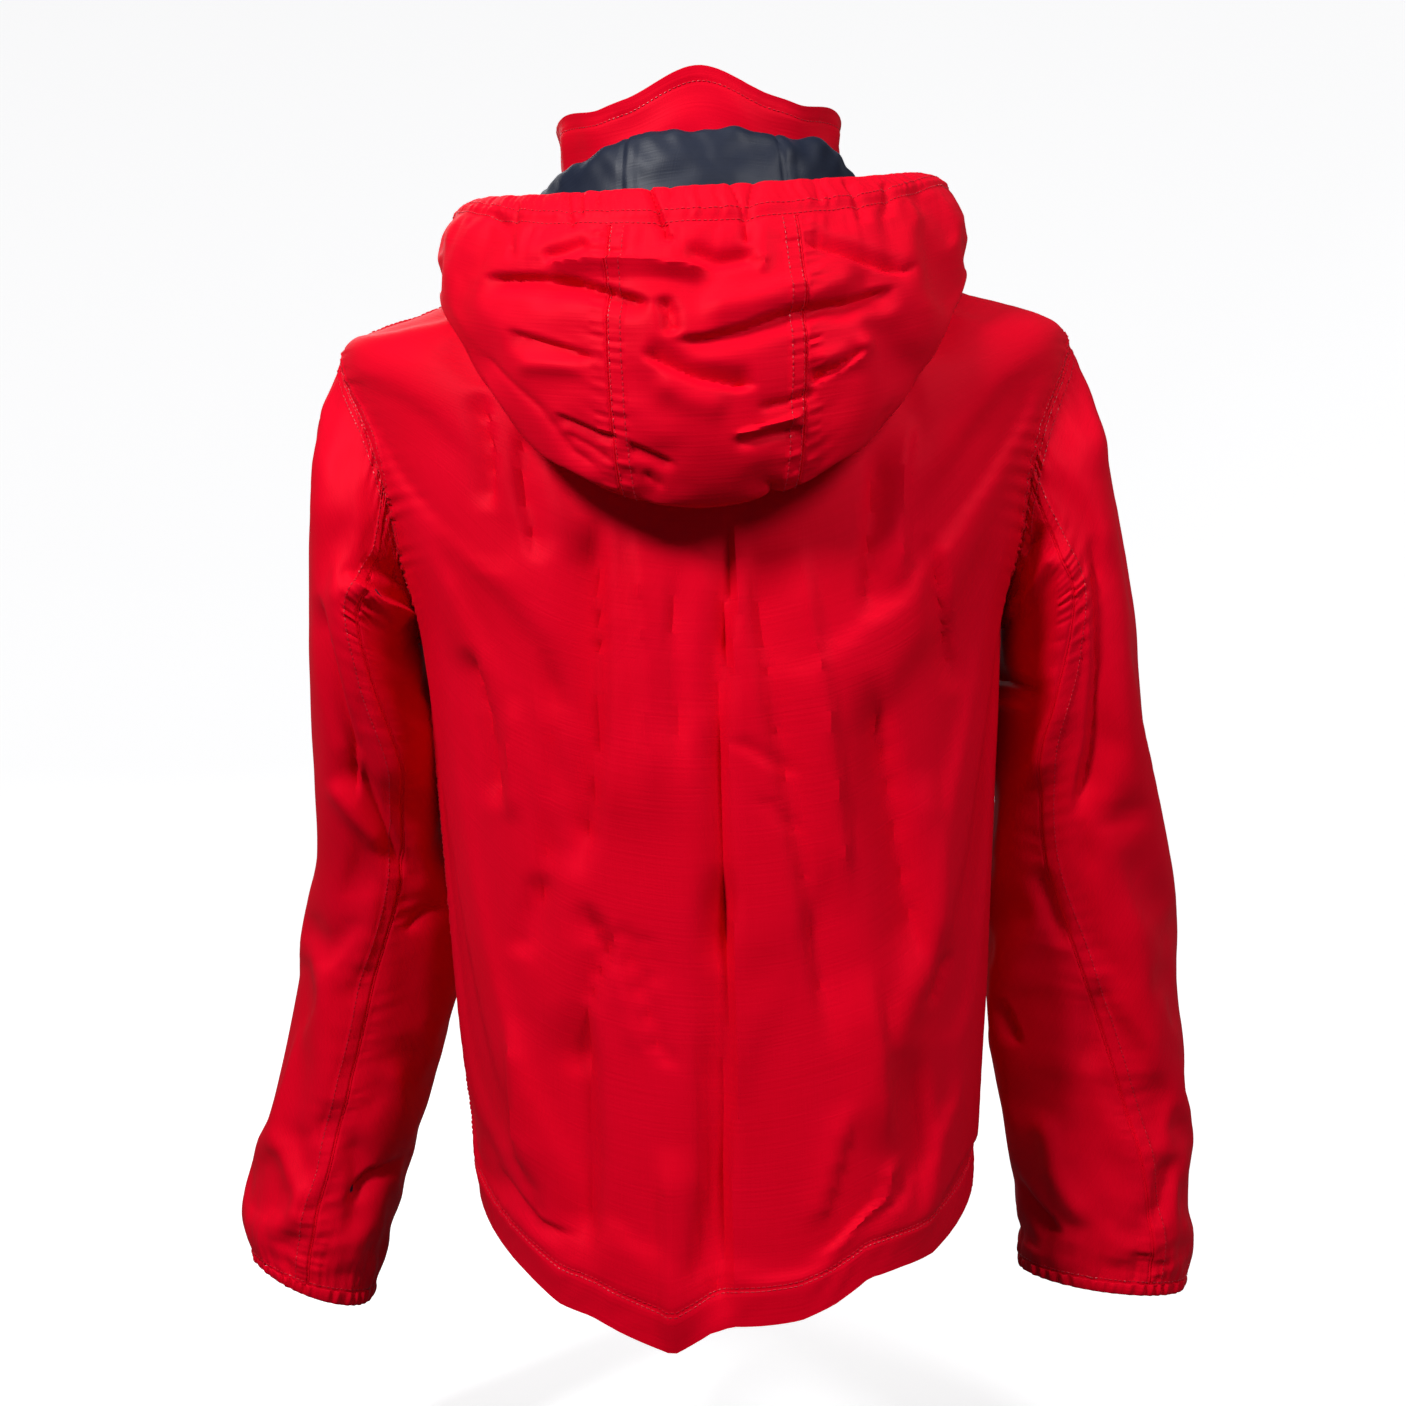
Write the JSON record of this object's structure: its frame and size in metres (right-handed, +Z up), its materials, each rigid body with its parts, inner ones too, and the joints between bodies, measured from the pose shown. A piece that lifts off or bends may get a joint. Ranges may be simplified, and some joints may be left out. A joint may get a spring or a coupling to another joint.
{
  "type": "foul weather jacket",
  "caption": "Hooded sailing jacket with stand collar, hood folded on the back, two-way front zip, flapped patch pockets and elasticated cuffs.",
  "frame": {"origin": "centre of the neck opening, level with the collar seam at the side of the neck", "axes": "+Z up along the wearer's back, the wearer faces -Y, +X is the wearer's left"},
  "size_m": [0.6361, 0.3477, 0.7813],
  "materials": {
    "shell_cloth": "proofed plain-weave nylon, slightly glossy",
    "lining_cloth": "smooth taffeta",
    "elastic": "ribbed elastic webbing",
    "zip_tape": "woven tape",
    "zip_plastic": "moulded acetal",
    "zip_metal": "enamelled zinc",
    "pull_plastic": "moulded, satin",
    "snap_cap": "moulded, satin",
    "label": "woven, blank"
  },
  "bodies": {
    "garment": {"back_panel": "shell_cloth", "front_panel_left": "shell_cloth", "front_panel_right": "shell_cloth", "back_lining": "lining_cloth", "front_lining_left": "lining_cloth", "front_lining_right": "lining_cloth", "collar_outer": "shell_cloth", "collar_lining": "lining_cloth", "hem_facing": "shell_cloth", "storm_guard": "lining_cloth", "hanger_loop": "elastic", "neck_label": "label", "hood_neck_wall": "lining_cloth", "zipper_tape_left": "zip_tape", "zipper_tape_right": "zip_tape", "zipper_chain_left": "zip_plastic", "zipper_chain_right": "zip_plastic", "zipper_top_stops": "zip_plastic", "zipper_retainer_box": "zip_plastic", "pocket_left": "shell_cloth", "pocket_right": "shell_cloth", "pocket_snap_stud_left": "zip_metal", "pocket_snap_stud_right": "zip_metal"},
    "sleeve_left": {"upper_sleeve_left": "shell_cloth", "under_sleeve_left": "shell_cloth", "sleeve_lining_left": "lining_cloth", "cuff_band_left": "shell_cloth", "cuff_elastic_left": "elastic"},
    "sleeve_right": {"upper_sleeve_right": "shell_cloth", "under_sleeve_right": "shell_cloth", "sleeve_lining_right": "lining_cloth", "cuff_band_right": "shell_cloth", "cuff_elastic_right": "elastic"},
    "hood": {"hood_center_panel": "shell_cloth", "hood_side_left": "shell_cloth", "hood_side_right": "shell_cloth", "hood_lining": "lining_cloth", "hood_edge_casing": "shell_cloth", "hood_elastic": "elastic"},
    "top_slider": {"top_slider": "zip_metal"},
    "top_pull": {"top_pull_tab": "pull_plastic"},
    "bottom_slider": {"bottom_slider": "zip_metal"},
    "bottom_pull": {"bottom_pull_tab": "pull_plastic"},
    "flap_left": {"pocket_flap_left": "shell_cloth", "pocket_snap_cap_left": "snap_cap"},
    "flap_right": {"pocket_flap_right": "shell_cloth", "pocket_snap_cap_right": "snap_cap"}
  },
  "joints": [
    {"name": "hood_raise", "type": "hinge", "parent": "garment", "child": "hood", "pos_m": [0, -0.062, 0.005], "axis": [1, 0, 0], "range_deg": [0, 95]},
    {"name": "sleeve_left_swing", "type": "hinge", "parent": "garment", "child": "sleeve_left", "pos_m": [0.233, 0, -0.057], "axis": [0, -1, 0], "range_deg": [0, 40]},
    {"name": "sleeve_right_swing", "type": "hinge", "parent": "garment", "child": "sleeve_right", "pos_m": [-0.233, 0, -0.057], "axis": [0, 1, 0], "range_deg": [0, 40]},
    {"name": "top_slider_travel", "type": "slide", "parent": "garment", "child": "top_slider", "axis": [0, 0.1087, -0.9941], "range_m": [0, 0.055]},
    {"name": "top_pull_swing", "type": "hinge", "parent": "top_slider", "child": "top_pull", "pos_m": [0, -0.08584, 0.0481], "axis": [-1, 0, 0], "range_deg": [0, 160]},
    {"name": "bottom_slider_travel", "type": "slide", "parent": "garment", "child": "bottom_slider", "axis": [0, 0, 1], "range_m": [0, 0.335]},
    {"name": "bottom_pull_swing", "type": "hinge", "parent": "bottom_slider", "child": "bottom_pull", "pos_m": [0, -0.1384, -0.622], "axis": [-1, 0, 0], "range_deg": [0, 160]},
    {"name": "pocket_flap_left_lift", "type": "hinge", "parent": "garment", "child": "flap_left", "pos_m": [0.03124, -0.15239, -0.4237], "axis": [-0.9403, -0.3381, -0.0389], "range_deg": [0, 110]},
    {"name": "pocket_flap_right_lift", "type": "hinge", "parent": "garment", "child": "flap_right", "pos_m": [-0.03124, -0.15239, -0.4237], "axis": [-0.9403, 0.3381, 0.0389], "range_deg": [0, 110]}
  ]
}
